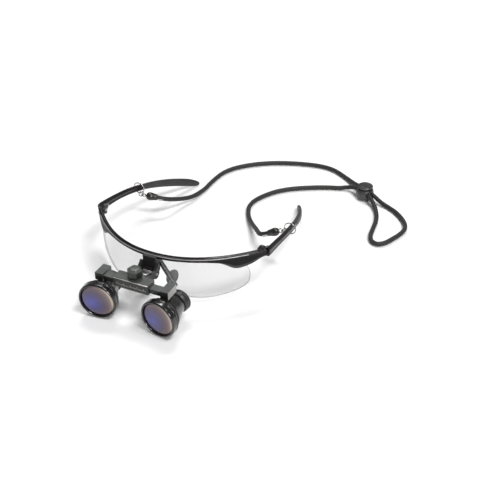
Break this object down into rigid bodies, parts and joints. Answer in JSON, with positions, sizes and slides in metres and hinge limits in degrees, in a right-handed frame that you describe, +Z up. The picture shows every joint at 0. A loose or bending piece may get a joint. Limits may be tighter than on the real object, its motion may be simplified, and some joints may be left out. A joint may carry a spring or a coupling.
{
  "type": "dental loupes",
  "caption": "Flip-up magnifying loupes on a wraparound half-rim frame, with hinged temples and a neck cord with a sliding lock.",
  "frame": {"origin": "on the floor under the middle of the eyewear, without its cord: it stands on its objective rings and temple tips", "axes": "+Z up, +Y from the loupes back along the temples, +X to the viewer's right when looking at the loupes' front"},
  "size_m": [0.232, 0.2955, 0.045],
  "materials": {
    "frame_gloss": "glossy black moulded nylon",
    "lens_clear": "clear polycarbonate",
    "tip_rubber": "matte black rubber",
    "pad_rubber": "soft grey silicone",
    "bracket_nylon": "matte black nylon",
    "pin_steel": "turned steel",
    "strap_wire": "bright steel wire and strip",
    "strap_rubber": "moulded black rubber",
    "cord_braid": "woven black cord",
    "lock_plastic": "satin black plastic",
    "spring_steel": "spring steel",
    "rail_grey": "fine satin grey-green anodised metal",
    "post_black": "matte black metal",
    "barrel_black": "gloss black enamel",
    "lens_coated": "coated optical glass",
    "eyepiece_glass": "optical glass",
    "eyecup_rubber": "matte black rubber"
  },
  "bodies": {
    "frame": {"brow_frame": "frame_gloss", "lens_left": "lens_clear", "lens_right": "lens_clear", "wing_tab_left": "frame_gloss", "wing_tab_right": "frame_gloss", "nose_bracket": "bracket_nylon", "nose_pad_left": "pad_rubber", "nose_pad_right": "pad_rubber", "mount_block": "bracket_nylon", "flip_knuckle": "pin_steel", "mount_screws": "pin_steel", "flip_pin": "pin_steel", "temple_hinge_pins": "pin_steel", "cord_left": "cord_braid", "cord_loop": "cord_braid", "cord_right": "cord_braid", "cord_lock_body": "lock_plastic", "cord_lock_spring": "spring_steel"},
    "temple_left": {"temple_arm_left": "frame_gloss", "temple_tip_left": "tip_rubber", "hinge_barrel_left": "pin_steel", "strap_ring_left": "strap_wire", "strap_link_left": "strap_wire", "strap_eye_left": "strap_wire", "strap_end_left": "strap_rubber", "strap_crimp_left": "strap_wire"},
    "temple_right": {"temple_arm_right": "frame_gloss", "temple_tip_right": "tip_rubber", "hinge_barrel_right": "pin_steel", "strap_ring_right": "strap_wire", "strap_link_right": "strap_wire", "strap_eye_right": "strap_wire", "strap_end_right": "strap_rubber", "strap_crimp_right": "strap_wire"},
    "loupe_carrier": {"rail_housing": "rail_grey", "rail_cover": "rail_grey", "rail_cover_screws": "pin_steel", "clamp_shoe": "pin_steel"},
    "knob": {"lock_knob": "rail_grey", "knob_screw": "pin_steel"},
    "loupe_left": {"slider_left": "rail_grey", "post_left": "post_black", "barrel_left": "barrel_black", "objective_ring_left": "barrel_black", "objective_lens_left": "lens_coated", "retaining_ring_left": "barrel_black", "eyepiece_lens_left": "eyepiece_glass", "eyecup_left": "eyecup_rubber"},
    "loupe_right": {"slider_right": "rail_grey", "post_right": "post_black", "barrel_right": "barrel_black", "objective_ring_right": "barrel_black", "objective_lens_right": "lens_coated", "retaining_ring_right": "barrel_black", "eyepiece_lens_right": "eyepiece_glass", "eyecup_right": "eyecup_rubber"},
    "lock_button": {"cord_lock_button": "lock_plastic"}
  },
  "joints": [
    {"name": "temple_left_fold", "type": "hinge", "parent": "frame", "child": "temple_left", "pos_m": [-0.0718, -0.0192, 0.0381], "axis": [-0.0958, -0.1728, -0.9803], "range_deg": [0, 85], "deforming": ["cord_left"]},
    {"name": "temple_right_fold", "type": "hinge", "parent": "frame", "child": "temple_right", "pos_m": [0.0718, -0.0192, 0.0381], "axis": [0.0958, 0.1728, 0.9803], "range_deg": [0, 85], "deforming": ["cord_right"]},
    {"name": "loupe_flip", "type": "hinge", "parent": "frame", "child": "loupe_carrier", "pos_m": [0, -0.0724, 0.03], "axis": [-1, 0, 0], "range_deg": [0, 68]},
    {"name": "pd_slide_left", "type": "slide", "parent": "loupe_carrier", "child": "loupe_left", "axis": [-1, 0, 0], "range_m": [-0.003, 0.004]},
    {"name": "pd_slide_right", "type": "slide", "parent": "loupe_carrier", "child": "loupe_right", "axis": [1, 0, 0], "range_m": [-0.003, 0.004]},
    {"name": "lock_knob_turn", "type": "hinge", "parent": "loupe_carrier", "child": "knob", "pos_m": [0, -0.0898, 0.04], "axis": [0, 0, 1], "range_deg": [0, 270]},
    {"name": "cord_lock_press", "type": "slide", "parent": "frame", "child": "lock_button", "axis": [0, 0, -1], "range_m": [0, 0.0018], "stiffness_N_per_m": 600, "springref_m": -0.0005, "deforming": ["cord_lock_spring"]}
  ]
}
